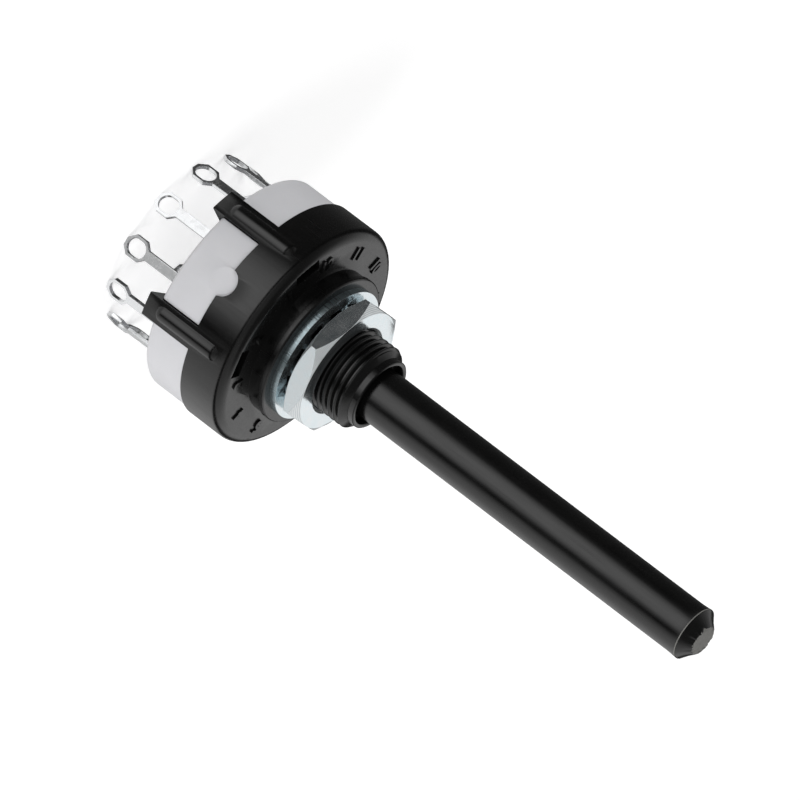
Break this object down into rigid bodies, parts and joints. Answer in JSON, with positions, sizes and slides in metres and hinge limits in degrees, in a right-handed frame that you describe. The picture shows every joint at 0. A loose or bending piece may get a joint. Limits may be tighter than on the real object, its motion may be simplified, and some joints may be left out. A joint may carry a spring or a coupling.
{
  "type": "rotary switch",
  "caption": "Panel-mount rotary switch with round plastic spindle, threaded bush with nut and lock washer, snap-together body and solder terminals.",
  "frame": {"origin": "spindle axis at the stop ring's front face, which bears on the back of the panel", "axes": "+Z along the spindle towards its free end; -Y through the wafer's half-round key"},
  "size_m": [0.0268, 0.0268, 0.0742],
  "materials": {
    "black_plastic": "moulded satin",
    "pale_plastic": "moulded satin",
    "spring_wire": "drawn wire",
    "bearing_steel": "polished",
    "contact_metal": "stamped",
    "tinned_metal": "tinned",
    "plated_steel": "bright zinc plated"
  },
  "bodies": {
    "housing": {"front_housing": "black_plastic", "rear_wafer": "pale_plastic", "stop_ring": "black_plastic", "common_terminal": "tinned_metal", "terminal_01": "tinned_metal", "terminal_02": "tinned_metal", "terminal_03": "tinned_metal", "terminal_04": "tinned_metal", "terminal_05": "tinned_metal", "terminal_06": "tinned_metal", "terminal_07": "tinned_metal", "terminal_08": "tinned_metal", "terminal_09": "tinned_metal", "terminal_10": "tinned_metal", "terminal_11": "tinned_metal", "terminal_12": "tinned_metal"},
    "rotor": {"spindle": "black_plastic", "moving_contact": "contact_metal", "contact_spring": "spring_wire", "detent_spring": "spring_wire"},
    "ball_a": {"detent_ball_a": "bearing_steel"},
    "ball_b": {"detent_ball_b": "bearing_steel"},
    "washer": {"lock_washer": "plated_steel"},
    "nut": {"mounting_nut": "plated_steel"}
  },
  "joints": [
    {"name": "spindle_turn", "type": "hinge", "parent": "housing", "child": "rotor", "pos_m": [0, 0, 0], "axis": [0, 0, 1], "range_deg": [0, 330]},
    {"name": "ball_a_slide", "type": "slide", "parent": "rotor", "child": "ball_a", "axis": [1, 0, 0], "range_m": [0, 0.0005], "deforming": ["detent_spring"]},
    {"name": "ball_b_slide", "type": "slide", "parent": "rotor", "child": "ball_b", "axis": [-1, 0, 0], "range_m": [0, 0.0005], "deforming": ["detent_spring"]},
    {"name": "washer_travel", "type": "slide", "parent": "housing", "child": "washer", "axis": [0, 0, 1], "range_m": [0, 0.0035]},
    {"name": "nut_turn", "type": "hinge", "parent": "washer", "child": "nut", "pos_m": [0, 0, 0], "axis": [0, 0, 1], "range_deg": [0, 1620]}
  ],
  "couplings": [
    {"joint": "washer_travel", "follows": "nut_turn", "m_per_rad": 0.00011937}
  ]
}
